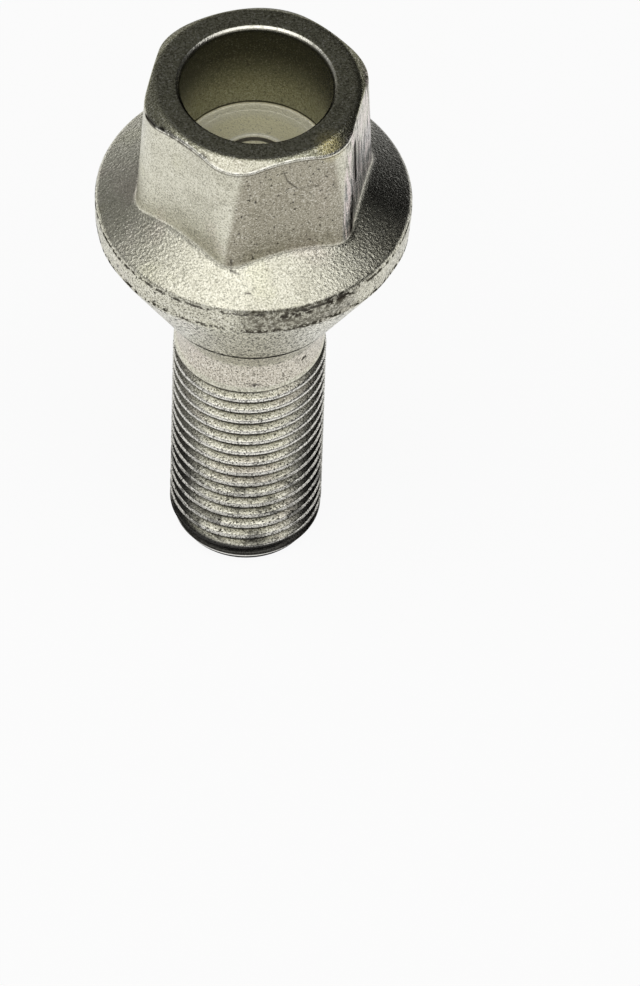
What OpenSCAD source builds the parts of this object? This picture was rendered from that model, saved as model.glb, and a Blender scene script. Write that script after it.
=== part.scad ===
// Wheel bolt with a conical seat, standing on its tip with the head up.
// The origin is at the centre of the tip's face, +Z runs along the shank towards the head.

/* [Shank] */
// Major diameter of the thread
thread_d = 12; // [10:0.1:14]
// Length of the thread, from the tip's face
thread_len = 21.2; // [15:0.1:60]
// Length over which the thread's crests run out into the neck
thread_runout = 0.3; // [0.1:0.1:0.6]
// Width of the chamfer at the tip
tip_chamfer = 0.85; // [0.4:0.05:1.5]
// Angle of the chamfer at the tip, from the axis
tip_angle = 30; // [25:1:60]
// Radius that breaks the edge of the tip's face
tip_round = 0.4; // [0.1:0.1:0.6]
// Diameter of the plain neck behind the thread
neck_d = 11.4; // [9.5:0.1:13]
// Length of the plain neck, from the thread to the cone's own line
neck_len = 2.3; // [1:0.1:10]
// Radius of the fillet between the neck and the cone
neck_fillet = 3; // [0.5:0.1:5]

/* [Seat] */
// Full angle of the cone that centres the wheel
seat_angle = 60; // [50:1:90]

/* [Collar] */
// Diameter of the collar
collar_d = 24.5; // [22.5:0.1:32]
// Height of the collar's upright rim
rim_h = 2.3; // [1.2:0.1:4]
// Radius of the rim's lower edge
rim_low_r = 0.6; // [0.1:0.1:1]
// Radius of the rim's upper edge
rim_top_r = 0.6; // [0.1:0.1:1.5]
// Slope of the collar's top, from level
collar_slope = 31; // [10:1:40]

/* [Head] */
// Width of the hexagon across its flats, level with the rim's upper edge
hex_af = 17; // [15:0.1:19]
// Width of the hexagon across its flats at the head's end
hex_end_af = 16.3; // [15:0.1:19]
// Radius that rounds the hexagon's corners, level with the rim's upper edge
hex_corner_r = 1.8; // [0.5:0.1:4]
// Radius that rounds the hexagon's corners at the head's end
hex_end_corner_r = 4.2; // [0.5:0.1:5]
// Height of the head, from the rim's upper edge to its end
head_h = 12.5; // [9:0.1:25]
// Width of the chamfer at the head's end, across a corner
head_end_chamfer = 0.9; // [0.2:0.05:1.6]
// Slope of the chamfer at the head's end, from level
head_end_slope = 40; // [10:1:60]
// Radius between the flat face and the chamfer
head_end_r = 0.8; // [0.2:0.1:3]

/* [Recess] */
// Diameter of the round recess in the head
recess_d = 11.8; // [8:0.1:12.5]
// Depth of the recess
recess_depth = 8.7; // [4:0.1:10]
// Width of the broken edge at the recess's mouth
recess_edge = 0.25; // [0.1:0.05:0.6]
// Diameter of the dimple in the recess's floor
dimple_d = 5.6; // [2:0.1:7]
// Depth of the dimple
dimple_depth = 0.9; // [0.3:0.1:2]
// Width of the dimple's sloped wall
dimple_wall = 0.8; // [0.2:0.1:0.95]

/* [Hidden] */
$fn = 96;

// Length by which a cut runs past the surface that it opens
CUT = 1;
// Bands that make up one rounded corner of an outline
ARC_STEPS = 6;
// Largest share of an outline's side that one rounded corner takes
CORNER_SHARE = 0.45;
// Share of the hexagon's width at which the collar's slope ends, inside the head
CROWN_SHARE = 0.42;

tip_face_r = thread_d / 2 - tip_chamfer;
tip_z = tip_chamfer / tan(tip_angle);
seat_z = thread_len + neck_len;
seat_h = (collar_d - neck_d) / 2 / tan(seat_angle / 2);
rim_z = seat_z + seat_h;
rim_top_z = rim_z + rim_h;
head_top_z = rim_top_z + head_h;
// Radius and height at which the collar's slope ends, inside the head
crown_r = hex_af * CROWN_SHARE;
crown_z = rim_top_z + (collar_d / 2 - crown_r) * tan(collar_slope);
head_root_z = rim_z + rim_h / 2;
foot_reach = corner_reach(hex_af, hex_corner_r);
end_reach = corner_reach(hex_end_af, hex_end_corner_r);
face_r = end_reach - head_end_chamfer;
corner_lean = (foot_reach - end_reach) / head_h;
flat_lean = atan((hex_af - hex_end_af) / 2 / head_h);
// Width of the cut beside a flat, past both of its corners
flat_w = foot_reach + 2 * CUT;
end_slope = tan(head_end_slope);
// Radius and height at which the leaning corners meet the chamfer
shoulder_r = (end_reach - corner_lean * face_r * end_slope) / (1 - corner_lean * end_slope);
shoulder_z = head_top_z - (shoulder_r - face_r) * end_slope;

// The unit vector from one point to another
function heading(from, to) = (to - from) / norm(to - from);

// Distance from the axis to the tips of a hexagon's corners, rounded by a radius
function corner_reach(af, corner_r) = (af / 2 - corner_r) / cos(30) + corner_r;

// The points of the arc that rounds a corner [x, y, radius] between two others
function corner_arc(before, corner, after) =
    let(b = [before[0], before[1]], c = [corner[0], corner[1]], a = [after[0], after[1]])
    let(u = heading(c, b), v = heading(c, a))
    let(half = acos(u * v) / 2)
    let(room = min(norm(b - c), norm(a - c)) * CORNER_SHARE)
    let(reach = min(corner[2] / tan(half), room))
    let(r = reach * tan(half))
    let(centre = c + heading([0, 0], u + v) * r / sin(half))
    let(from = c + u * reach - centre)
    let(turn = (v[0] * u[1] - v[1] * u[0] > 0 ? 1 : -1) * (180 - 2 * half))
    [
        for (i = [0 : ARC_STEPS])
            let(t = atan2(from[1], from[0]) + turn * i / ARC_STEPS)
            centre + r * [cos(t), sin(t)]
    ];

// An outline whose corners [x, y, radius] run anticlockwise, each rounded where its radius is not zero
module rounded_outline(corners) {
    count = len(corners);
    polygon([
        for (i = [0 : count - 1])
            let(k = corners[i])
            for (p = k[2] > 0 ? corner_arc(corners[(i + count - 1) % count], k, corners[(i + 1) % count]) : [[k[0], k[1]]])
                p
    ]);
}

// Everything that is round about the axis: tip, thread, neck, cone, rim and crowned collar
module turned_body() {
    rotate_extrude()
        rounded_outline([
            [0, 0, 0],
            [tip_face_r, 0, tip_round],
            [thread_d / 2, tip_z, 0],
            [thread_d / 2, thread_len, 0],
            [neck_d / 2, thread_len + thread_runout, 0],
            [neck_d / 2, seat_z, neck_fillet],
            [collar_d / 2, rim_z, rim_low_r],
            [collar_d / 2, rim_top_z, rim_top_r],
            [crown_r, crown_z, 0],
            [0, crown_z, 0]
        ]);
}

// The head's round blank, from inside the collar up to its chamfered end. What the flats leave of it are
// the corners, which are rounded more and more towards the end
module head_blank() {
    rotate_extrude()
        rounded_outline([
            [0, head_root_z, 0],
            [foot_reach, head_root_z, 0],
            [foot_reach, rim_top_z, 0],
            [shoulder_r, shoulder_z, 0],
            [face_r, head_top_z, head_end_r],
            [0, head_top_z, 0]
        ]);
}

// What the blank loses beside one flat, which leans towards the axis up to the head's end
module beside_flat() {
    translate([hex_af / 2, 0, rim_top_z])
        rotate([0, -flat_lean, 0])
            translate([0, -flat_w / 2, head_root_z - rim_top_z - CUT])
                cube([foot_reach - hex_end_af / 2 + CUT, flat_w, head_top_z - head_root_z + 2 * CUT]);
}

// The hexagonal head
module hex_head() {
    difference() {
        head_blank();
        for (i = [0 : 5])
            rotate([0, 0, 30 + 60 * i])
                beside_flat();
    }
}

// The blind round recess in the head's end, with its broken edge and the dimple in its floor
module head_recess() {
    floor_z = head_top_z - recess_depth;
    translate([0, 0, floor_z])
        cylinder(d = recess_d, h = recess_depth + CUT);
    translate([0, 0, head_top_z - recess_edge])
        cylinder(r1 = recess_d / 2, r2 = recess_d / 2 + recess_edge + CUT, h = recess_edge + CUT);
    translate([0, 0, floor_z - dimple_depth])
        cylinder(r1 = dimple_d / 2 - dimple_wall, r2 = dimple_d / 2, h = dimple_depth);
}

module wheel_bolt() {
    color([0.72, 0.71, 0.66])
        difference() {
            union() {
                turned_body();
                hex_head();
            }
            head_recess();
        }
}

wheel_bolt();
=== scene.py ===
import math

import bmesh
import bpy
import numpy as np
from mathutils import Matrix, Vector


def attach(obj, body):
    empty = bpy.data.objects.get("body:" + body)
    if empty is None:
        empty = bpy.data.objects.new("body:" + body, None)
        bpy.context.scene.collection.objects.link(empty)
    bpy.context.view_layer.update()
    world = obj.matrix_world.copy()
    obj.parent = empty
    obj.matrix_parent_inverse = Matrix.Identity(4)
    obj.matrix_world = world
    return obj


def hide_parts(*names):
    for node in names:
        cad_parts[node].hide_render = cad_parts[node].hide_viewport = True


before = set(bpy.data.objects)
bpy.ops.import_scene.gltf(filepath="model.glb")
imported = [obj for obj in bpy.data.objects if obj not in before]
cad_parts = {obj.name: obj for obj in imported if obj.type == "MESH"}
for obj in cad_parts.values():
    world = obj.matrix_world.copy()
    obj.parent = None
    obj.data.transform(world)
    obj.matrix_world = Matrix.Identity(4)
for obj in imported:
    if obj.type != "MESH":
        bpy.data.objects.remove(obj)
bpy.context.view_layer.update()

MM = 0.001

# Sizes of the bolt in millimetres, as in the solid model
THREAD_R = 6.0
THREAD_END = 21.2
TIP_CHAMFER = 0.85
TIP_ANGLE = 30.0
NECK_R = 5.7
SEAT_Z = 23.5
SEAT_HALF_ANGLE = 30.0
NECK_FILLET = 3.0
COLLAR_R = 12.25
RIM_H = 2.3
RIM_LOW_R = 0.6
RIM_TOP_R = 0.6
COLLAR_SLOPE = 31.0
HEX_AF = 17.0
HEX_END_AF = 16.3
HEX_CORNER_R = 1.8
HEX_END_CORNER_R = 4.2
HEAD_H = 12.5
HEAD_END_CHAMFER = 0.9
HEAD_END_SLOPE = 40.0
HEAD_END_R = 0.8
RECESS_R = 5.9
RECESS_DEPTH = 8.7
RECESS_EDGE = 0.25
DIMPLE_R = 2.8
DIMPLE_DEPTH = 0.9
DIMPLE_WALL = 0.8

# Sizes in millimetres that only this mesh has
PITCH = 1.25
THREAD_DEPTH = 0.74
# Height at which a crest of the thread stands in the direction of +X, near the tip
HELIX_START = 0.10
# Heights between which the mesh's rows follow the thread's helix
HELIX_LOW = 0.25
HELIX_HIGH = THREAD_END + 0.5
# Half widths of the flats on the thread's crest and in its root, and how far the root's rounding
# reaches past its flat, all in half pitches
CREST_SHARE = 0.17
ROOT_SHARE = 0.20
ROOT_ROUND = 0.10
# Rise of the root's rounded edges, as a share of the thread's depth
ROOT_RISE = 0.05
# Depth of the seam that rolling leaves along the crest, and how much deeper it is near the tip
SEAM_DEPTH = 0.02
SEAM_DEEPER = 0.07
SEAM_DEEPER_BELOW = 14.0
# Length over which the thread's outside narrows to the neck, and how far below its end that starts
RUNOUT_LENGTH = 1.2
RUNOUT_BELOW = 0.9
# Length over which the grooves fade, and how far past the thread's end they are gone
GROOVE_FADE = 1.3
GROOVE_PAST = 0.1
# Radius that breaks the edge of the tip's face
TIP_EDGE_R = 0.28
# How far the forged rim draws in at most
RIM_UNEVEN = 0.11
# Size of the fillet at the hexagon's foot
FOOT_FILLET = 0.35
# Rise of the recess's floor from the dimple to the wall
FLOOR_DISH = 0.12
# Radius in the corner between the recess's floor and its wall
FLOOR_CORNER_R = 0.12
# Heights of the rows on the head's chamfered end, below the end face
HEAD_END_DEPTHS = (1.3, 1.15, 1.02, 0.9, 0.8, 0.72, 0.64, 0.57, 0.5, 0.44, 0.38, 0.33, 0.28, 0.24,
                   0.2, 0.165, 0.13, 0.1, 0.075, 0.05, 0.03, 0.015, 0.005)

COLUMNS = 192
ROWS_PER_PITCH = 12
# Points of the mesh that lie closer than this, in metres, become one
MERGE_DISTANCE = 2e-7
# The mesh's layer that says how far the hexagon would stand out past the chamfer
PAST_EDGE = "past_edge"

TIP_SLOPE = math.tan(math.radians(TIP_ANGLE))
TIP_FACE_R = THREAD_R - TIP_CHAMFER
TIP_Z = TIP_CHAMFER / TIP_SLOPE
RIM_Z = SEAT_Z + (COLLAR_R - NECK_R) / math.tan(math.radians(SEAT_HALF_ANGLE))
RIM_TOP_Z = RIM_Z + RIM_H
HEAD_TOP_Z = RIM_TOP_Z + HEAD_H
COLLAR_RISE = math.tan(math.radians(COLLAR_SLOPE))
# Height at which the collar's slope would meet the axis
CROWN_Z = RIM_TOP_Z + COLLAR_R * COLLAR_RISE
FLOOR_Z = HEAD_TOP_Z - RECESS_DEPTH
END_REACH = (HEX_END_AF / 2 - HEX_END_CORNER_R) / math.cos(math.radians(30)) + HEX_END_CORNER_R
FACE_R = END_REACH - HEAD_END_CHAMFER

# Angles of the mesh's columns about the axis
THETA = np.arange(COLUMNS) * 2 * math.pi / COLUMNS

# The camera as fitted to the photo, turned about the bolt until the hexagon's corners stand as they do there
CAM_FOCAL_PX = 12000.0
CAM_ELEVATION = 49.192
CAM_ROLL = 1.977
CAM_TIP_PX = (245.118, 508.597)
CAM_DISTANCE = 953.239
CAM_TURN = -(30.0 - 10.542)
FRAME_PX = (640, 986)
SENSOR_MM = 36.0

# Level directions on the bolt, towards the photo's right and towards its viewer
TURN = math.radians(CAM_TURN)
PHOTO_RIGHT = (math.cos(TURN), math.sin(TURN), 0.0)
PHOTO_FRONT = (math.sin(TURN), -math.cos(TURN), 0.0)


def smooth(x):
    """Eases a share from 0 to 1."""
    x = np.clip(x, 0.0, 1.0)
    return x * x * (3 - 2 * x)


def wobble(theta, z, seed):
    """A smooth, seeded unevenness about the axis and along it, from 0 to 1."""
    waves = 9
    rng = np.random.default_rng(seed)
    out = np.zeros(np.broadcast(theta, z).shape)
    for _ in range(waves):
        turns = rng.integers(2, 19)
        rise = rng.normal(0, 1.2)
        out = out + np.sin(turns * theta + rise * z + rng.uniform(0, 2 * math.pi)) / math.sqrt(waves)
    return np.clip(0.5 + 0.4 * out, 0, 1)


def round_corner(before, corner, after, radius, steps):
    """Points of the arc that rounds a corner of an outline."""
    b, c, a = (np.array(p, float) for p in (before, corner, after))
    u = (b - c) / np.linalg.norm(b - c)
    v = (a - c) / np.linalg.norm(a - c)
    half = math.acos(float(np.clip(u @ v, -1, 1))) / 2
    reach = radius / math.tan(half)
    w = (u + v) / np.linalg.norm(u + v)
    centre = c + w * radius / math.sin(half)
    p, q = c + u * reach - centre, c + v * reach - centre
    s = math.atan2(p[1], p[0])
    turn = math.atan2(p[0] * q[1] - p[1] * q[0], float(p @ q))
    angles = [s + turn * i / steps for i in range(steps + 1)]
    return [tuple(centre + radius * np.array([math.cos(t), math.sin(t)])) for t in angles]


def between(a, b, steps):
    """Points that divide a line from a to b, without its ends."""
    a, b = np.array(a, float), np.array(b, float)
    return [tuple(a + (b - a) * i / steps) for i in range(1, steps)]


def soft_min(a, b, width):
    """The smaller of two lengths, with the edge between them softened over a width."""
    h = np.clip(0.5 + 0.5 * (b - a) / width, 0, 1)
    return b * (1 - h) + a * h - width * h * (1 - h)


def level(points):
    """Rings about the axis, as arrays of radius and height, from the points of an outline."""
    return [(r + np.zeros(COLUMNS), z + np.zeros(COLUMNS)) for r, z in points]


def rings_of_tip():
    """The tip's face and its rounded edge, up to where the thread's rows start."""
    pts = [(r, 0.0) for r in (0.6, 1.6, 2.8, 3.8, 4.4)]
    pts += round_corner((0, 0), (TIP_FACE_R, 0), (THREAD_R, TIP_Z), TIP_EDGE_R, 5)
    return pts + [(TIP_FACE_R + HELIX_LOW * TIP_SLOPE, HELIX_LOW)]


def groove_depth(turns, z):
    """Depth of the rolled thread at a place in its pitch: crest with a seam, flank, rounded root, flank."""
    x = np.abs((turns % 1.0) - 0.5) * 2          # 0 in the middle of the root, 1 in the middle of the crest
    crest = 1 - CREST_SHARE
    flank = np.clip((crest - x) / (crest - ROOT_SHARE), 0, 1)
    root_edge = ROOT_SHARE + ROOT_ROUND
    round_root = np.clip((root_edge - x) / 0.3, 0, 1)
    seam_depth = SEAM_DEPTH + SEAM_DEEPER * smooth((SEAM_DEEPER_BELOW - z) / 5.0)
    seam = seam_depth * np.exp(-((x - 1) / 0.05) ** 2)
    return THREAD_DEPTH * (flank - ROOT_RISE * smooth(1 - round_root) * (x < root_edge)) + seam


def rows_of_thread():
    """Rows that follow the helix, as arrays of radius and height."""
    hair = 1e-9
    first_r = TIP_FACE_R + HELIX_LOW * TIP_SLOPE
    count = int((HELIX_HIGH - HELIX_LOW) / PITCH * ROWS_PER_PITCH)
    rows = []
    for i in range(-ROWS_PER_PITCH, count + ROWS_PER_PITCH + 2):
        helix_z = HELIX_START + PITCH * (i / ROWS_PER_PITCH + THETA / (2 * math.pi))
        z = np.clip(helix_z, HELIX_LOW, HELIX_HIGH)
        cone = TIP_FACE_R + z * TIP_SLOPE
        runout = smooth((z - THREAD_END + RUNOUT_BELOW) / RUNOUT_LENGTH)
        narrowed = NECK_R + (THREAD_R - NECK_R) * (1 - runout)
        body = np.where(z > THREAD_END - RUNOUT_BELOW, narrowed, THREAD_R)
        outer = soft_min(cone, body, 0.12)
        fade = smooth((THREAD_END + GROOVE_PAST - z) / GROOVE_FADE)
        depth = groove_depth(i / ROWS_PER_PITCH + np.zeros(COLUMNS), z) * fade
        r = soft_min(outer, THREAD_R - depth, 0.02)
        r = np.where(z <= HELIX_LOW + hair, first_r, r)
        r = np.where(z >= HELIX_HIGH - hair, NECK_R, r)
        rows.append((r, z))
    return rows


def rows_of_neck_and_rim():
    """Neck, fillet, cone and rim, from the thread's end to the collar's sloped top."""
    seat = (NECK_R, SEAT_Z)
    rim_low = (COLLAR_R, RIM_Z)
    rim_top = (COLLAR_R, RIM_TOP_Z)
    fillet_start = SEAT_Z - 0.81
    pts = between((NECK_R, HELIX_HIGH), (NECK_R, fillet_start), 5)
    pts += round_corner((NECK_R, THREAD_END), seat, rim_low, NECK_FILLET, 8)
    pts += between(pts[-1], rim_low, 16)
    pts += round_corner(seat, rim_low, rim_top, RIM_LOW_R, 5)
    top = round_corner(rim_low, rim_top, (0.0, CROWN_Z), RIM_TOP_R, 7)
    pts += between(pts[-1], top[0], 8) + top
    rows = []
    for r, z in pts:
        # the forged rim isn't quite even: its lower half draws in a little here and there
        in_rim = math.exp(-((z - (RIM_Z + 0.35)) / 0.55) ** 2) if r > COLLAR_R - 0.7 else 0.0
        rows.append((r - RIM_UNEVEN * in_rim * wobble(THETA, z * 0.4, 5), z + np.zeros(COLUMNS)))
    return rows


def collar_z(r):
    """Height of the collar's sloped top at a distance from the axis."""
    return CROWN_Z - r * COLLAR_RISE


def hexagon_radius(z):
    """Distance from the axis to the head's leaning sides at a height, with the corners' growing radius."""
    up = (z - RIM_TOP_Z) / HEAD_H
    half = (HEX_AF + (HEX_END_AF - HEX_AF) * up) / 2
    corner_r = HEX_CORNER_R + (HEX_END_CORNER_R - HEX_CORNER_R) * up
    phi = np.abs((THETA + math.pi / 6) % (math.pi / 3) - math.pi / 6)
    flat = half / np.cos(math.pi / 6 - phi)
    centre = (half - corner_r) / math.cos(math.pi / 6)
    # a corner's arc ends where it has turned 30 degrees, and the sine of that is a half
    touch = np.arctan2(corner_r * 0.5, centre + corner_r * math.cos(math.pi / 6))
    arc = centre * np.cos(phi) + np.sqrt(np.maximum(corner_r ** 2 - (centre * np.sin(phi)) ** 2, 0))
    return np.where(phi < touch, arc, flat)


def rows_of_collar_and_head(start_r):
    """The collar's top, the fillet at the hexagon's foot, its sides and its chamfered end."""
    # the line in which the leaning sides meet the slope, found step by step
    foot_z = RIM_TOP_Z + 2.0 + np.zeros(COLUMNS)
    for _ in range(12):
        foot_z = collar_z(hexagon_radius(foot_z))
    foot = hexagon_radius(foot_z)
    out = foot + FOOT_FILLET
    rows = []
    for t in np.linspace(0, 1, 15)[1:]:
        r = start_r + (out - start_r) * t
        rows.append((r, collar_z(r)))
    side_z = foot_z + FOOT_FILLET * 1.1
    p0 = (out, collar_z(out))
    p1 = (foot, foot_z)
    p2 = (hexagon_radius(side_z), side_z)
    for t in (0.2, 0.4, 0.6, 0.8, 1.0):
        a, b, c = (1 - t) ** 2, 2 * t * (1 - t), t * t
        rows.append((a * p0[0] + b * p1[0] + c * p2[0], a * p0[1] + b * p1[1] + c * p2[1]))

    end_z = HEAD_TOP_Z - 1.5
    for t in np.linspace(0, 1, 27)[1:]:
        z = side_z + (end_z - side_z) * t
        rows.append((hexagon_radius(z), z))
    slope = math.radians(HEAD_END_SLOPE)
    arc_start = FACE_R - HEAD_END_R * math.tan(slope / 2)
    arc_depth = HEAD_END_R * (1 - math.cos(slope))
    for depth in HEAD_END_DEPTHS:
        if depth > arc_depth:
            end = FACE_R + depth / math.tan(slope)
        else:
            end = arc_start + math.sqrt(HEAD_END_R ** 2 - (HEAD_END_R - depth) ** 2)
        z = HEAD_TOP_Z - depth + np.zeros(COLUMNS)
        side = hexagon_radius(z)
        rows.append((soft_min(side, end + np.zeros(COLUMNS), 0.14), z, side - end))
    return rows


def rings_of_face_and_recess():
    """The head's end face, the recess's broken edge, wall, floor and dimple."""
    top, floor = HEAD_TOP_Z, FLOOR_Z
    mouth = RECESS_R + RECESS_EDGE
    rim = FACE_R - HEAD_END_R * math.tan(math.radians(HEAD_END_SLOPE / 2)) - 0.08
    pts = [(rim, top)] + between((rim, top), (mouth + 0.1, top), 8)
    pts += [(mouth + 0.1, top), (mouth + 0.02, top - 0.012), (mouth - 0.05, top - 0.05)]
    pts += [(RECESS_R + 0.05, top - RECESS_EDGE + 0.02), (RECESS_R, top - RECESS_EDGE - 0.06)]
    corner = floor + FLOOR_DISH
    pts += between(pts[-1], (RECESS_R, corner + FLOOR_CORNER_R), 22)
    pts += [(RECESS_R - FLOOR_CORNER_R * (1 - math.cos(a)), corner + FLOOR_CORNER_R * (1 - math.sin(a)))
            for a in np.radians([0, 18, 36, 54, 72, 84])]
    pts += between(pts[-1], (DIMPLE_R + 0.3, floor), 7)
    foot_r, foot_z = DIMPLE_R - DIMPLE_WALL, floor - DIMPLE_DEPTH
    pts += round_corner((RECESS_R, floor), (DIMPLE_R, floor), (foot_r, foot_z), 0.12, 3)
    pts += between(pts[-1], (foot_r, foot_z), 4)
    return pts + [(foot_r, foot_z + 0.03), (foot_r - 0.12, foot_z), (1.3, foot_z), (0.6, foot_z)]


def join_rows(bm, verts, first_helix, last_helix):
    """The faces between the rows, of which some follow the thread's helix."""
    for k in range(len(verts) - 1):
        for j in range(COLUMNS - 1):
            bm.faces.new((verts[k][j], verts[k][j + 1], verts[k + 1][j + 1], verts[k + 1][j]))
        if not first_helix <= k < last_helix:
            bm.faces.new((verts[k][-1], verts[k][0], verts[k + 1][0], verts[k + 1][-1]))
    # along the thread the last column meets the first one a pitch further up
    for k in range(first_helix, last_helix - ROWS_PER_PITCH):
        up = k + ROWS_PER_PITCH
        bm.faces.new((verts[k][-1], verts[up][0], verts[up + 1][0], verts[k + 1][-1]))


def build_bolt():
    """The whole bolt as one closed mesh of rows about the axis."""
    tip = level(rings_of_tip())
    helix = rows_of_thread()
    middle = rows_of_neck_and_rim()
    upper = rows_of_collar_and_head(float(middle[-1][0][0]))
    rows = tip + helix + middle + upper + level(rings_of_face_and_recess())

    bm = bmesh.new()
    # the layer is 0 on the edge between the hexagon and the chamfer, and -1 away from the head's end
    past_edge = bm.verts.layers.float.new(PAST_EDGE)
    cos, sin = np.cos(THETA), np.sin(THETA)
    verts = []
    for row in rows:
        r, z = row[:2]
        past = np.clip(row[2], -1, 1) if len(row) > 2 else -np.ones(COLUMNS)
        ring = [bm.verts.new((r[j] * cos[j] * MM, r[j] * sin[j] * MM, z[j] * MM)) for j in range(COLUMNS)]
        for j, vert in enumerate(ring):
            vert[past_edge] = past[j]
        verts.append(ring)
    low = bm.verts.new((0, 0, rows[0][1][0] * MM))
    high = bm.verts.new((0, 0, rows[-1][1][0] * MM))
    join_rows(bm, verts, len(tip), len(tip) + len(helix) - 1)
    for j in range(COLUMNS):
        i = (j + 1) % COLUMNS
        bm.faces.new((low, verts[0][i], verts[0][j]))
        bm.faces.new((high, verts[-1][j], verts[-1][i]))
    # past both ends of the helix its rows lie on one another, and their points are merged there
    bmesh.ops.remove_doubles(bm, verts=bm.verts, dist=MERGE_DISTANCE)
    bmesh.ops.delete(bm, geom=[v for v in bm.verts if not v.link_faces], context="VERTS")
    open_edges = [e for e in bm.edges if len(e.link_faces) != 2]
    print("bolt mesh:", len(bm.verts), "points,", len(bm.faces), "faces,",
          len(open_edges), "edges without two faces")
    for f in bm.faces:
        f.smooth = True
    mesh = bpy.data.meshes.new("wheel_bolt_detail")
    bm.to_mesh(mesh)
    bm.free()
    obj = bpy.data.objects.new("wheel_bolt_detail", mesh)
    bpy.context.scene.collection.objects.link(obj)
    return obj


class Nodes:
    """Short calls for building the node tree of a material or a world."""

    def __init__(self, owner):
        owner.use_nodes = True
        self.tree = owner.node_tree
        self.tree.nodes.clear()

    def add(self, kind, **settings):
        """A new node with its settings."""
        node = self.tree.nodes.new(kind)
        for key, value in settings.items():
            setattr(node, key, value)
        return node

    def link(self, a, b):
        """Links an output to an input."""
        self.tree.links.new(a, b)

    def put(self, socket, value):
        """Gives an input an output to read, or a plain value."""
        if hasattr(value, "is_output"):
            self.link(value, socket)
        else:
            socket.default_value = value

    def math(self, op, a, b=0.0, clamp=False):
        """One sum with numbers."""
        node = self.add("ShaderNodeMath", operation=op, use_clamp=clamp)
        self.put(node.inputs[0], a)
        self.put(node.inputs[1], b)
        return node.outputs[0]

    def times(self, *shares):
        """The product of all the shares."""
        out = shares[0]
        for share in shares[1:]:
            out = self.math("MULTIPLY", out, share)
        return out

    def most(self, *shares):
        """The largest of the shares."""
        out = shares[0]
        for share in shares[1:]:
            out = self.math("MAXIMUM", out, share)
        return out

    def vector(self, op, a, b):
        """The node of one sum with vectors."""
        node = self.add("ShaderNodeVectorMath", operation=op)
        self.put(node.inputs[0], a)
        self.put(node.inputs[1], b)
        return node

    def stretched(self, vector, factors):
        """A position whose axes are scaled, for a texture that is drawn out along one of them."""
        return self.vector("MULTIPLY", vector, factors).outputs[0]

    def noise(self, vector, scale, detail, rough, distortion=0.0):
        """A noise around 0.5. Its scale is in features a millimetre."""
        node = self.add("ShaderNodeTexNoise")
        self.link(vector, node.inputs["Vector"])
        node.inputs["Scale"].default_value = scale
        node.inputs["Detail"].default_value = detail
        node.inputs["Roughness"].default_value = rough
        node.inputs["Distortion"].default_value = distortion
        return node.outputs["Fac"]

    def span(self, value, low, high, out_low=0.0, out_high=1.0):
        """Eases from one number to another while a value goes from low to high, or down from high."""
        node = self.add("ShaderNodeMapRange", interpolation_type="SMOOTHSTEP")
        self.put(node.inputs["Value"], value)
        node.inputs["From Min"].default_value = low
        node.inputs["From Max"].default_value = high
        node.inputs["To Min"].default_value = out_low
        node.inputs["To Max"].default_value = out_high
        return node.outputs[0]

    def band(self, value, low, high, soft):
        """A share of 1 between two values, which falls to 0 over a soft width outside them."""
        return self.times(self.span(value, low - soft, low), self.span(value, high + soft, high))

    def mix(self, share, a, b):
        """The colour a, and b over it by a share."""
        node = self.add("ShaderNodeMix", data_type="RGBA")
        self.put(node.inputs["Factor"], share)
        for socket, value in ((node.inputs[6], a), (node.inputs[7], b)):
            self.put(socket, value if hasattr(value, "is_output") else (*value, 1.0))
        return node.outputs[2]

    def line(self, mm, a, b, width):
        """A share of 1 on a straight mark from a to b, in millimetres, which falls to 0 over its width."""
        step = tuple(q - p for p, q in zip(a, b))
        size = sum(s * s for s in step)
        away = self.vector("SUBTRACT", mm, a).outputs[0]
        reach = self.vector("DOT_PRODUCT", away, step).outputs["Value"]
        foot = self.add("ShaderNodeVectorMath", operation="SCALE")
        foot.inputs[0].default_value = step
        self.link(self.math("DIVIDE", reach, size, clamp=True), foot.inputs["Scale"])
        gap = self.vector("DISTANCE", away, foot.outputs[0]).outputs["Value"]
        return self.span(gap, width, 0.0)

    def spot(self, mm, centre, radius, core=0.0):
        """A share of 1 within the core of a round patch, in millimetres, which falls to 0 at its radius."""
        return self.span(self.vector("DISTANCE", mm, centre).outputs["Value"], radius, core)


# Radii between which the thread's crests get a painted highlight, and between which its grooves get painted
# shade
CREST_RADII = (5.87, 5.94)
GROOVE_RADII = (5.59, 5.42)
# Heights on the thread between which painted shade at its sides, pits and smears come in towards the tip
SIDE_SHADE_Z = (19.0, 9.0)
PITTED_Z = (14.0, 8.0)
SMEARED_Z = (13.0, 8.0)
# Heights of the dark band above the tip's chamfer, and of a dark and a pale one on it
TIP_BAND_Z = (1.55, 2.25)
TIP_FOOT_Z = (1.05, 1.5)
TIP_EDGE_Z = (0.60, 0.90)
# Height at which the neck's look gives way to the cone's
CONE_LOOK_Z = 23.6
# Heights of the dark line near the cone's foot, and between which the cone's coarse grain comes in
CONE_LINE_Z = (26.2, 26.6)
CONE_GRAIN_Z = (25.8, 26.5)
# Heights between which the head's narrow right side darkens towards its foot
RIGHT_SIDE_Z = (46.5, 43.5)
# A lighter patch on the chamfer at the front, a painted highlight, and a yellowish one to the right of it
LENS_CENTRE = (-4.3, -7.6, 49.2)
YELLOW_CENTRE = (3.5, -7.3, 49.5)


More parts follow.
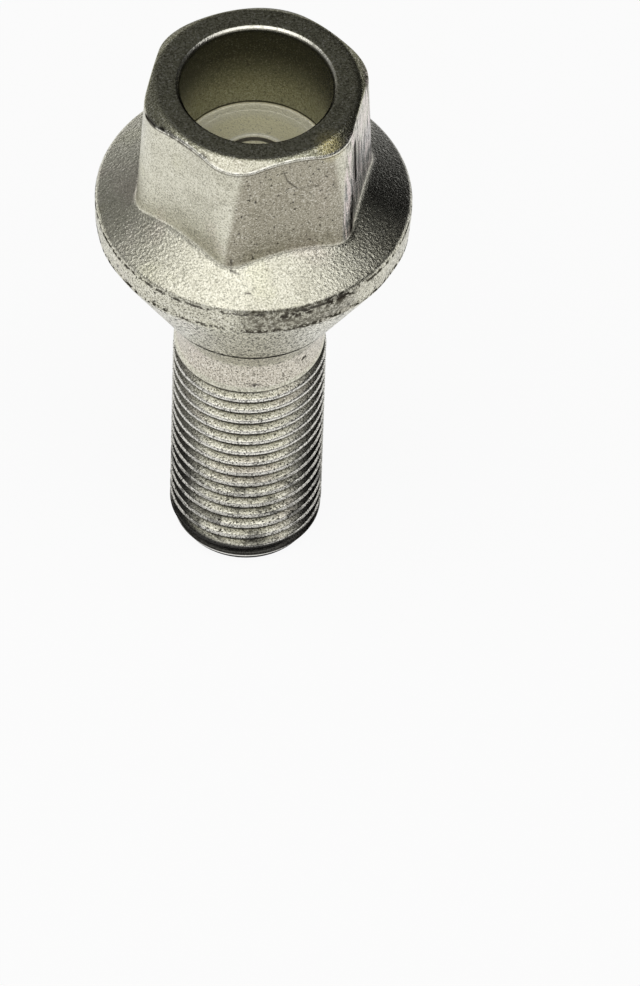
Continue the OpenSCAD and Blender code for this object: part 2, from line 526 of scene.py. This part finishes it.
def places(n, mm, y, z, radius, past):
    """Shares of 1 at the bolt's different places, for the material."""
    # distances from the axis towards the photo's right and towards its viewer
    across = n.vector("DOT_PRODUCT", mm, PHOTO_RIGHT).outputs["Value"]
    nearer = n.vector("DOT_PRODUCT", mm, PHOTO_FRONT).outputs["Value"]
    facing = n.span(nearer, -2.0, 2.0)

    thread = n.span(z, THREAD_END - 0.3, THREAD_END - 1.2)
    crest = n.times(n.span(radius, *CREST_RADII), thread)
    lower = n.span(z, *SIDE_SHADE_Z, 0.3, 1.0)
    at_sides = n.span(n.math("ABSOLUTE", across), 2.6, 4.9)
    # painted shade at the thread's sides, as they stand left and right of the camera
    side_shade = n.times(thread, n.math("SUBTRACT", 1.0, crest), at_sides, lower, n.span(nearer, -2.0, 0.5))
    tip_side = n.span(radius, TIP_FACE_R - 0.25, TIP_FACE_R - 0.05)
    tip_foot = n.times(n.most(n.span(z, 0.45, 0.30), n.band(z, *TIP_FOOT_Z, 0.1)), tip_side)
    # darker bands near the tip, on the side that faces the camera
    dark_tip_band = n.times(n.most(n.band(z, *TIP_BAND_Z, 0.25), tip_foot), facing)

    above_slope = n.math("SUBTRACT", n.math("ADD", z, n.math("MULTIPLY", radius, COLLAR_RISE)), CROWN_Z)
    side = n.times(n.span(radius, 9.9, 9.6), n.span(above_slope, 0.05, 0.4),
                   n.span(z, HEAD_TOP_Z - 0.3, HEAD_TOP_Z - 0.5))

    chamfer = n.span(past, -0.02, 0.06)
    lens = n.spot(mm, LENS_CENTRE, 3.7, 2.3)
    face = n.times(n.span(z, HEAD_TOP_Z - 0.12, HEAD_TOP_Z - 0.02),
                   n.span(radius, RECESS_R + 0.1, RECESS_R + 0.3))
    mouth = n.times(n.band(radius, RECESS_R, RECESS_R + 0.24, 0.04),
                    n.span(z, HEAD_TOP_Z - 0.34, HEAD_TOP_Z - 0.26))
    near_mouth = n.most(n.span(nearer, -1.0, 2.5), n.span(radius, RECESS_R + 0.13, RECESS_R + 0.07, 0.0, 0.8))
    in_recess = n.span(radius, RECESS_R + 0.12, RECESS_R)
    return {
        "thread": thread,
        "groove": n.times(n.span(radius, *GROOVE_RADII), thread),
        "crest": crest,
        "side_shade": side_shade,
        "dark tip band": dark_tip_band,
        "tip edge": n.times(n.band(z, *TIP_EDGE_Z, 0.15), tip_side),
        "front": n.span(nearer, 2.0, 4.0),
        "photo side": n.span(nearer, -3.0, 0.5),
        "neck": n.band(z, THREAD_END, CONE_LOOK_Z, 0.15),
        "cone": n.band(z, CONE_LOOK_Z, RIM_Z - 0.2, 0.15),
        "rim": n.times(n.span(radius, COLLAR_R - 0.25, COLLAR_R - 0.12), n.span(z, RIM_Z - 0.3, RIM_Z)),
        "rim patch": n.times(n.band(across, 0.5, 7.0, 2.0), n.span(nearer, 2.0, 5.0)),
        "collar": n.times(n.band(above_slope, -0.25, 0.05, 0.1), n.span(z, RIM_TOP_Z - 0.2, RIM_TOP_Z + 0.2)),
        # painted shade on the right of the collar's top
        "collar shade": n.times(n.span(across, 7.2, 9.4), n.band(nearer, -8.0, 1.0, 3.5)),
        # the flat that faces -Y, and the narrow side beside it at the photo's right
        # a painted dark reflection lies on the flat that faces -Y
        "shaded flat": n.times(side, n.span(y, -7.85, -8.1)),
        "right side": n.times(side, n.span(across, 6.85, 7.15), n.span(nearer, -3.6, -2.6)),
        "lens": n.times(chamfer, lens),
        # the end face and the chamfer, but for the lens at the front, get painted shade
        "face": n.most(face, n.times(chamfer, n.math("SUBTRACT", 1.0, lens))),
        "far mouth": n.times(mouth, n.span(nearer, 1.0, -2.5),
                             n.span(radius, RECESS_R + 0.08, RECESS_R + 0.14)),
        "near mouth": n.times(mouth, near_mouth),
        "recess": in_recess,
        # the recess's floor gets painted light
        "recess floor": n.times(in_recess, n.band(z, FLOOR_Z - 1.2, FLOOR_Z + 0.25, 0.2)),
        "recess wall": n.times(n.span(radius, RECESS_R + 0.04, RECESS_R),
                               n.span(z, FLOOR_Z + 0.25, FLOOR_Z + 0.45)),
    }


# The material's colours, from the lowest layer to the one on top of all
COLOURS = {
    "dull coating": (0.66, 0.64, 0.52),
    "pale coating": (0.76, 0.74, 0.61),
    "warm tint": (0.74, 0.63, 0.57),
    "olive tint": (0.68, 0.67, 0.46),
    # painted dark reflection on the flat that faces -Y
    "shaded flat": (0.28, 0.245, 0.18),
    "neck": (0.66, 0.55, 0.49),
    # painted shade on the right of the collar's top
    "collar shade": (0.10, 0.10, 0.095),
    "face": (0.36, 0.355, 0.24),
    "lens": (0.42, 0.40, 0.30),
    "recess wall": (0.50, 0.50, 0.27),
    "crest": (0.93, 0.91, 0.85),
    "wall shade": (0.055, 0.055, 0.028),
    "recess floor": (0.96, 0.91, 0.64),
    "right side": (0.24, 0.25, 0.27),
    "pale streaks": (0.90, 0.78, 0.75),
    "dark streaks": (0.10, 0.09, 0.10),
    "yellow spot": (0.86, 0.76, 0.36),
    "dark grain": (0.10, 0.092, 0.07),
    "pale grain": (0.95, 0.93, 0.86),
    "thread grain": (0.05, 0.048, 0.04),
    "cone grain": (0.02, 0.02, 0.015),
    "pits": (0.05, 0.045, 0.035),
    "rim patch": (0.10, 0.09, 0.065),
    "groove": (0.02, 0.018, 0.014),
    # painted shade at the thread's sides, and smears of dirt
    "thread shade and dirt": (0.025, 0.024, 0.023),
    "tip edge": (0.95, 0.93, 0.88),
    "highlight lines": (0.95, 0.93, 0.84),
    "chamfer line": (0.10, 0.09, 0.07),
    "dark lines": (0.06, 0.055, 0.045),
    "marks": (0.035, 0.03, 0.025),
}
# The tint of what clean metal, and what dirt and painted shade, reflect at a grazing angle
CLEAN_TINT = (1.0, 1.0, 1.0)
DIRT_AND_SHADE_TINT = (0.0, 0.0, 0.0)

# Dark marks as straight stretches: their two ends, width and darkness
SCRATCHES = (
    ((-8.85, 0.15, 48.75), (-8.55, -1.30, 48.95), 0.32, 1.0),
    ((-0.49, -8.15, 48.55), (-0.10, -8.20, 47.30), 0.13, 0.6),
    ((-0.10, -8.20, 47.30), (0.65, -8.24, 46.34), 0.13, 0.7),
    ((0.65, -8.24, 46.34), (2.50, -8.28, 46.10), 0.11, 0.4),
    ((5.98, -6.15, 47.40), (6.10, -6.00, 43.40), 0.75, 0.9),
    ((6.60, -4.90, 46.00), (6.75, -4.80, 43.00), 0.70, 0.5),
    ((5.40, -7.45, 39.10), (5.65, -7.00, 41.60), 0.85, 0.75),
    ((-4.50, -8.22, 39.80), (-4.56, -8.45, 38.68), 0.20, 0.75),
    ((-4.56, -8.45, 38.80), (-4.05, -8.80, 38.60), 0.16, 0.70),
    ((-3.95, -10.25, 37.95), (-3.60, -10.35, 37.92), 0.13, 0.85),
    ((5.21, 4.14, 49.64), (6.50, 4.40, 49.60), 0.07, 0.70),
    ((8.47, -0.99, 49.10), (8.20, -2.30, 49.10), 0.30, 0.60),
)
# Ragged dark marks, which the pits break up: their two ends and width
RAGGED = (
    ((-8.45, -1.50, 49.20), (-5.85, -5.80, 49.25), 0.36),
    ((5.35, -7.55, 38.90), (5.60, -7.10, 42.50), 0.80),
    ((2.20, -12.00, 36.85), (4.20, -11.45, 36.90), 0.70),
    ((-1.60, -12.10, 36.50), (0.60, -12.20, 36.60), 0.50),
    ((-1.30, -5.90, 12.40), (-0.90, -5.90, 12.00), 0.45),
    ((2.10, -5.30, 22.70), (2.95, -4.85, 22.60), 0.30),
    ((-1.90, -5.60, 21.50), (-1.20, -5.60, 21.30), 0.35),
)


def textures(n, mm, cone):
    """The noises that the material is made of."""
    # the cone's grain is drawn out along the axis
    fine = n.noise(mm, 7.2, 2.0, 0.75)
    drawn = n.noise(n.stretched(mm, (1.0, 1.0, 0.3)), 5.0, 2.0, 0.8)
    return {
        "grain": n.math("ADD", n.times(fine, n.math("SUBTRACT", 1.0, cone)), n.times(drawn, cone)),
        "skin": n.noise(mm, 6.0, 3.0, 0.7),
        "pits": n.noise(mm, 3.0, 2.0, 0.55),
        "leather": n.noise(mm, 4.4, 2.0, 0.55),
        "blotch": n.noise(mm, 0.30, 3.0, 0.55, 0.6),
        "tint": n.noise(n.stretched(mm, (1.0, 1.0, 0.8)), 0.22, 2.0, 0.5, 0.3),
        "streaks": n.noise(n.stretched(mm, (2.6, 2.6, 0.30)), 1.6, 3.0, 0.6),
        "smear": n.noise(n.stretched(mm, (1.0, 1.0, 1.8)), 0.5, 3.0, 0.6, 0.4),
        "broken": n.span(n.noise(mm, 1.4, 3.0, 0.7), 0.42, 0.55),
    }


def tones(n, mm, z, at, tex):
    """Shares of the tints and of the tones that the photo shows at the bolt's places."""
    return {
        "warm tint": n.span(tex["tint"], 0.56, 0.72, 0.0, 0.30),
        "olive tint": n.span(tex["tint"], 0.44, 0.30, 0.0, 0.30),
        # painted dark reflection on the flat that faces -Y
        "shaded flat": n.times(at["shaded flat"], 0.70),
        "neck": n.times(at["neck"], 0.35),
        # painted shade on the right of the collar's top
        "collar shade": n.times(at["collar"], at["collar shade"], 0.8),
        # painted shade on the end face and the chamfer
        "face": n.times(at["face"], 0.85),
        # a painted highlight on the chamfer at the front
        "lens": n.times(at["lens"], 0.4),
        "recess wall": n.times(at["recess wall"], 0.5),
        # a painted highlight along the thread's crests
        "crest": n.times(at["crest"], 0.85),
        "wall shade": n.times(at["recess wall"], n.span(z, FLOOR_Z + 1.5, HEAD_TOP_Z - 2.0, 0.45, 0.97)),
        # painted light on the recess's floor
        "recess floor": n.times(at["recess floor"], 0.85),
        "right side": n.times(at["right side"], n.span(z, *RIGHT_SIDE_Z, 0.1, 0.75)),
        "pale streaks": n.times(at["right side"], n.span(tex["streaks"], 0.50, 0.60)),
        "dark streaks": n.times(at["right side"], n.span(tex["streaks"], 0.48, 0.40, 0.0, 0.65)),
        "yellow spot": n.spot(mm, YELLOW_CENTRE, 1.7),
    }


def grain_dirt_and_shade(n, z, at, tex):
    """Shares of the grain, the fine pits, the dirt between them and the painted shade on the thread."""
    grain, pits = tex["grain"], tex["pits"]
    heavy = n.most(at["neck"], at["cone"], at["thread"], at["rim"], at["face"], 0.6)
    heavy = n.times(heavy, n.span(at["recess floor"], 0.0, 1.0, 1.0, 0.4))
    light = n.times(heavy, n.span(at["recess wall"], 0.0, 1.0, 1.0, 0.35))
    pitted_thread = n.times(at["thread"], n.span(z, *PITTED_Z))
    pitted = n.most(n.times(at["shaded flat"], 0.9), at["rim"], pitted_thread, 0.35)
    soiled = n.times(at["thread"], n.span(z, *SMEARED_Z), n.span(tex["smear"], 0.50, 0.36, 0.0, 0.65))
    return {
        "dark grain": n.times(heavy, n.span(grain, 0.34, 0.53, 0.95, 0.0)),
        "pale grain": n.times(light, n.span(grain, 0.53, 0.68, 0.0, 0.75)),
        "thread grain": n.times(at["thread"], n.span(grain, 0.45, 0.34, 0.0, 0.85)),
        "cone grain": n.times(at["cone"], n.span(z, *CONE_GRAIN_Z, 0.35, 1.0),
                              n.math("ADD", n.times(at["photo side"], 0.4), 0.2),
                              n.span(grain, 0.38, 0.50, 1.0, 0.0)),
        "pits": n.times(n.span(pits, 0.38, 0.30), pitted),
        "rim patch": n.times(at["rim"], at["rim patch"], n.span(pits, 0.60, 0.42, 0.35, 0.85)),
        # painted shade in the thread's grooves
        "groove": n.times(at["groove"], 0.95),
        # painted shade at the thread's sides, the dark tip bands, and smears of dirt
        "thread shade and dirt": n.most(n.times(at["side_shade"], 0.95), n.times(at["dark tip band"], 0.95), soiled),
        "tip edge": n.times(at["tip edge"], 0.7),
    }


def edge_highlight(n, past, at, tex):
    """The share of the painted highlight along the edge between the hexagon and the chamfer, at the front."""
    return n.times(n.band(past, -0.06, 0.10, 0.06), n.span(tex["broken"], 0.0, 0.6, 0.4, 1.0), at["front"])


def highlight_lines(n, z, radius, at, tex):
    """The share of the painted highlights along the far side of the mouth and in the recess's floor."""
    mouth = n.times(at["far mouth"], n.span(tex["broken"], 0.0, 0.5, 0.5, 1.0))
    floor_edge = n.times(at["recess"], n.band(z, FLOOR_Z + 0.10, FLOOR_Z + 0.24, 0.05))
    dimple_edge = n.times(n.band(radius, DIMPLE_R - 0.06, DIMPLE_R + 0.14, 0.06),
                          n.band(z, FLOOR_Z - 0.2, FLOOR_Z + 0.1, 0.1))
    return n.most(mouth, n.times(n.most(floor_edge, dimple_edge), 0.55))


def dark_lines(n, z, radius, at, tex):
    """The share of the dark lines along the rim, the cone, the mouth's near side and the recess's floor."""
    rim_top = n.times(n.band(z, RIM_TOP_Z - 0.34, RIM_TOP_Z - 0.16, 0.07),
                      n.span(radius, COLLAR_R - 0.5, COLLAR_R - 0.3), tex["broken"])
    rim_low = n.times(n.band(z, RIM_Z + 0.05, RIM_Z + 0.25, 0.15),
                      n.span(radius, COLLAR_R - 0.6, COLLAR_R - 0.4), n.span(tex["pits"], 0.55, 0.42))
    cone = n.times(n.band(z, *CONE_LINE_Z, 0.12), n.span(tex["broken"], 0.0, 0.5, 0.6, 1.0), at["photo side"])
    floor_edge = n.times(at["recess"], n.band(z, FLOOR_Z + 0.34, FLOOR_Z + 0.48, 0.06))
    dimple_edge = n.times(n.band(radius, DIMPLE_R - 0.30, DIMPLE_R - 0.16, 0.06),
                          n.span(z, FLOOR_Z + 0.2, FLOOR_Z))
    return n.most(rim_top, rim_low, cone, at["near mouth"], floor_edge, dimple_edge)


def dark_marks(n, mm, tex):
    """The share of the scratches and of the ragged marks."""
    shares = [n.times(n.line(mm, a, b, width), depth) for a, b, width, depth in SCRATCHES]
    shares += [n.times(n.line(mm, a, b, width), n.span(tex["pits"], 0.60, 0.45)) for a, b, width in RAGGED]
    return n.most(*shares)


def plated_steel():
    """Satin zinc-flake steel: grain, pits, dirt, marks, uneven tones and painted light and shade."""
    material = bpy.data.materials.new("plated_steel_detail")
    n = Nodes(material)
    out = n.add("ShaderNodeOutputMaterial")
    shader = n.add("ShaderNodeBsdfPrincipled")
    n.link(shader.outputs[0], out.inputs[0])
    scaled = n.add("ShaderNodeVectorMath", operation="SCALE")
    n.link(n.add("ShaderNodeTexCoord").outputs["Object"], scaled.inputs[0])
    scaled.inputs["Scale"].default_value = 1 / MM
    mm = scaled.outputs[0]
    parts = n.add("ShaderNodeSeparateXYZ")
    n.link(mm, parts.inputs[0])
    x, y, z = parts.outputs
    radius = n.math("SQRT", n.math("ADD", n.math("MULTIPLY", x, x), n.math("MULTIPLY", y, y)))
    past = n.add("ShaderNodeAttribute", attribute_name=PAST_EDGE).outputs["Fac"]

    at = places(n, mm, y, z, radius, past)
    tex = textures(n, mm, at["cone"])
    front_highlight = edge_highlight(n, past, at, tex)
    lines = dark_lines(n, z, radius, at, tex)
    marks = dark_marks(n, mm, tex)
    layers = {
        **tones(n, mm, z, at, tex),
        **grain_dirt_and_shade(n, z, at, tex),
        # painted highlights along the head's front edge, the mouth's far side and the recess's floor
        "highlight lines": n.times(n.most(front_highlight, highlight_lines(n, z, radius, at, tex)), 0.85),
        "chamfer line": n.times(n.band(past, -0.24, -0.14, 0.05), 0.6),
        "dark lines": n.times(lines, 0.92),
        "marks": marks,
    }
    base = n.mix(n.span(tex["blotch"], 0.36, 0.62), COLOURS["dull coating"], COLOURS["pale coating"])
    for name, share in layers.items():
        base = n.mix(share, base, COLOURS[name])
    n.link(base, shader.inputs["Base Color"])

    # dirt and painted shade stay dark at a grazing angle too, where bare metal would turn bright
    dull = n.most(lines, marks, n.times(n.most(layers["cone grain"], layers["dark streaks"]), 0.7),
                  n.times(at["side_shade"], 0.8), n.times(at["dark tip band"], 0.8), n.times(at["groove"], 0.9),
                  n.times(at["face"], 0.7))
    n.link(n.mix(n.times(dull, 0.95), CLEAN_TINT, DIRT_AND_SHADE_TINT), shader.inputs["Specular Tint"])
    n.link(n.span(at["recess floor"], 0.0, 1.0, 1.0, 0.6), shader.inputs["Metallic"])
    rough = n.math("ADD", n.span(tex["grain"], 0.3, 0.7, 0.36, 0.24),
                   n.times(n.most(at["recess wall"], at["recess floor"]), 0.20))
    n.link(n.math("SUBTRACT", rough, n.times(n.most(front_highlight, at["crest"]), 0.06)), shader.inputs["Roughness"])

    # bump: the fine grain everywhere, and the forged skin's coarser dimples, most on the collar's top
    coarse = n.times(tex["leather"], n.math("ADD", n.times(at["collar"], 0.010), 0.004))
    bump = n.add("ShaderNodeBump")
    bump.inputs["Strength"].default_value = 1.0
    bump.inputs["Distance"].default_value = 0.004
    n.link(n.math("ADD", coarse, n.times(tex["skin"], 0.006)), bump.inputs["Height"])
    n.link(bump.outputs[0], shader.inputs["Normal"])
    return material


# Half the floor's width in metres
FLOOR_HALF = 3.0
# How far the floor lies below the tip's face, in metres, so that the two aren't in one plane
FLOOR_GAP = 0.00003
FLOOR_WHITE = 0.92
# Share of a white that doesn't dim, where the floor is seen
SEEN_WHITE = 0.92


def pale_floor():
    """A plain, nearly white matt floor. Seen directly or in a gloss, most of its white doesn't dim."""
    material = bpy.data.materials.new("floor_matt")
    n = Nodes(material)
    out = n.add("ShaderNodeOutputMaterial")
    shader = n.add("ShaderNodeBsdfPrincipled")
    shader.inputs["Base Color"].default_value = (FLOOR_WHITE, FLOOR_WHITE, FLOOR_WHITE, 1)
    shader.inputs["Roughness"].default_value = 0.9
    shader.inputs["Specular IOR Level"].default_value = 0.1
    white = n.add("ShaderNodeEmission")
    white.inputs["Strength"].default_value = 1.0
    path = n.add("ShaderNodeLightPath")
    seen = n.most(*(path.outputs[ray] for ray in ("Is Camera Ray", "Is Glossy Ray", "Is Transmission Ray")))
    both = n.add("ShaderNodeMixShader")
    n.link(n.times(seen, SEEN_WHITE), both.inputs[0])
    n.link(shader.outputs[0], both.inputs[1])
    n.link(white.outputs[0], both.inputs[2])
    n.link(both.outputs[0], out.inputs[0])
    mesh = bpy.data.meshes.new("floor")
    corners = ((-1, -1), (1, -1), (1, 1), (-1, 1))
    mesh.from_pydata([(x * FLOOR_HALF, y * FLOOR_HALF, -FLOOR_GAP) for x, y in corners], [], [(0, 1, 2, 3)])
    mesh.materials.append(material)
    floor = bpy.data.objects.new("floor", mesh)
    bpy.context.scene.collection.objects.link(floor)
    return floor


def camera_matrix():
    """The camera's rows (right, down, ahead) and its place in millimetres."""
    e, c, s = math.radians(CAM_ELEVATION), math.cos(math.radians(CAM_ROLL)), math.sin(math.radians(CAM_ROLL))
    base = np.array([[1, 0, 0], [0, -math.sin(e), -math.cos(e)], [0, math.cos(e), -math.sin(e)]])
    rows = np.array([[c, -s, 0], [s, c, 0], [0, 0, 1]]) @ base
    offset = np.array([(CAM_TIP_PX[0] - FRAME_PX[0] / 2) / CAM_FOCAL_PX,
                       (CAM_TIP_PX[1] - FRAME_PX[1] / 2) / CAM_FOCAL_PX, 1.0]) * CAM_DISTANCE
    place = -rows.T @ offset
    turn = np.array([[math.cos(TURN), -math.sin(TURN), 0], [math.sin(TURN), math.cos(TURN), 0], [0, 0, 1]])
    return rows @ turn.T, turn @ place


def make_camera():
    """The photo's camera."""
    rows, place = camera_matrix()
    data = bpy.data.cameras.new("camera")
    data.sensor_fit = "AUTO"
    data.sensor_width = SENSOR_MM
    data.lens = CAM_FOCAL_PX * SENSOR_MM / FRAME_PX[1]
    data.clip_start = 0.01
    data.clip_end = 20.0
    camera = bpy.data.objects.new("camera", data)
    axes = rows.T @ np.diag([1.0, -1.0, -1.0])
    matrix = Matrix(axes.tolist()).to_4x4()
    matrix.translation = Vector((place * MM).tolist())
    camera.matrix_world = matrix
    bpy.context.scene.collection.objects.link(camera)
    bpy.context.scene.camera = camera


def area_light(name, azimuth, elevation, distance, width, height, radiance):
    """A soft light that faces the bolt. Its azimuth is from the camera's side, positive to the right."""
    data = bpy.data.lights.new(name, "AREA")
    data.shape = "RECTANGLE"
    data.size, data.size_y = width, height
    data.energy = radiance * math.pi * width * height
    light = bpy.data.objects.new(name, data)
    a = math.radians(-90 + CAM_TURN + azimuth)
    e = math.radians(elevation)
    target = Vector((0, 0, 0.03))
    place = target + Vector((math.cos(a) * math.cos(e), math.sin(a) * math.cos(e), math.sin(e))) * distance
    light.location = place
    light.rotation_euler = (target - place).to_track_quat("-Z", "Y").to_euler()
    bpy.context.scene.collection.objects.link(light)


# Strength of the studio's own light on the photo's left and on its right
STUDIO_LEFT = 0.26
STUDIO_RIGHT = 0.012


def light_the_scene():
    """One large soft light from the front and above, in a dim studio that is darker on the right."""
    area_light("key_front_top", azimuth=-3, elevation=60, distance=0.95, width=2.2, height=1.4, radiance=1.25)
    world = bpy.data.worlds.new("studio")
    bpy.context.scene.world = world
    n = Nodes(world)
    out = n.add("ShaderNodeOutputWorld")
    ground = n.add("ShaderNodeBackground")
    direction = n.add("ShaderNodeTexCoord").outputs["Generated"]
    to_right = n.vector("DOT_PRODUCT", direction, PHOTO_RIGHT).outputs["Value"]
    n.link(n.span(to_right, -0.8, 0.75, STUDIO_LEFT, STUDIO_RIGHT), ground.inputs["Strength"])
    n.link(ground.outputs[0], out.inputs[0])


bolt = build_bolt()
bolt.data.materials.append(plated_steel())
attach(bolt, "root")
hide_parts("wheel_bolt")
floor = pale_floor()
make_camera()
light_the_scene()
bpy.context.scene.view_settings.view_transform = "Standard"
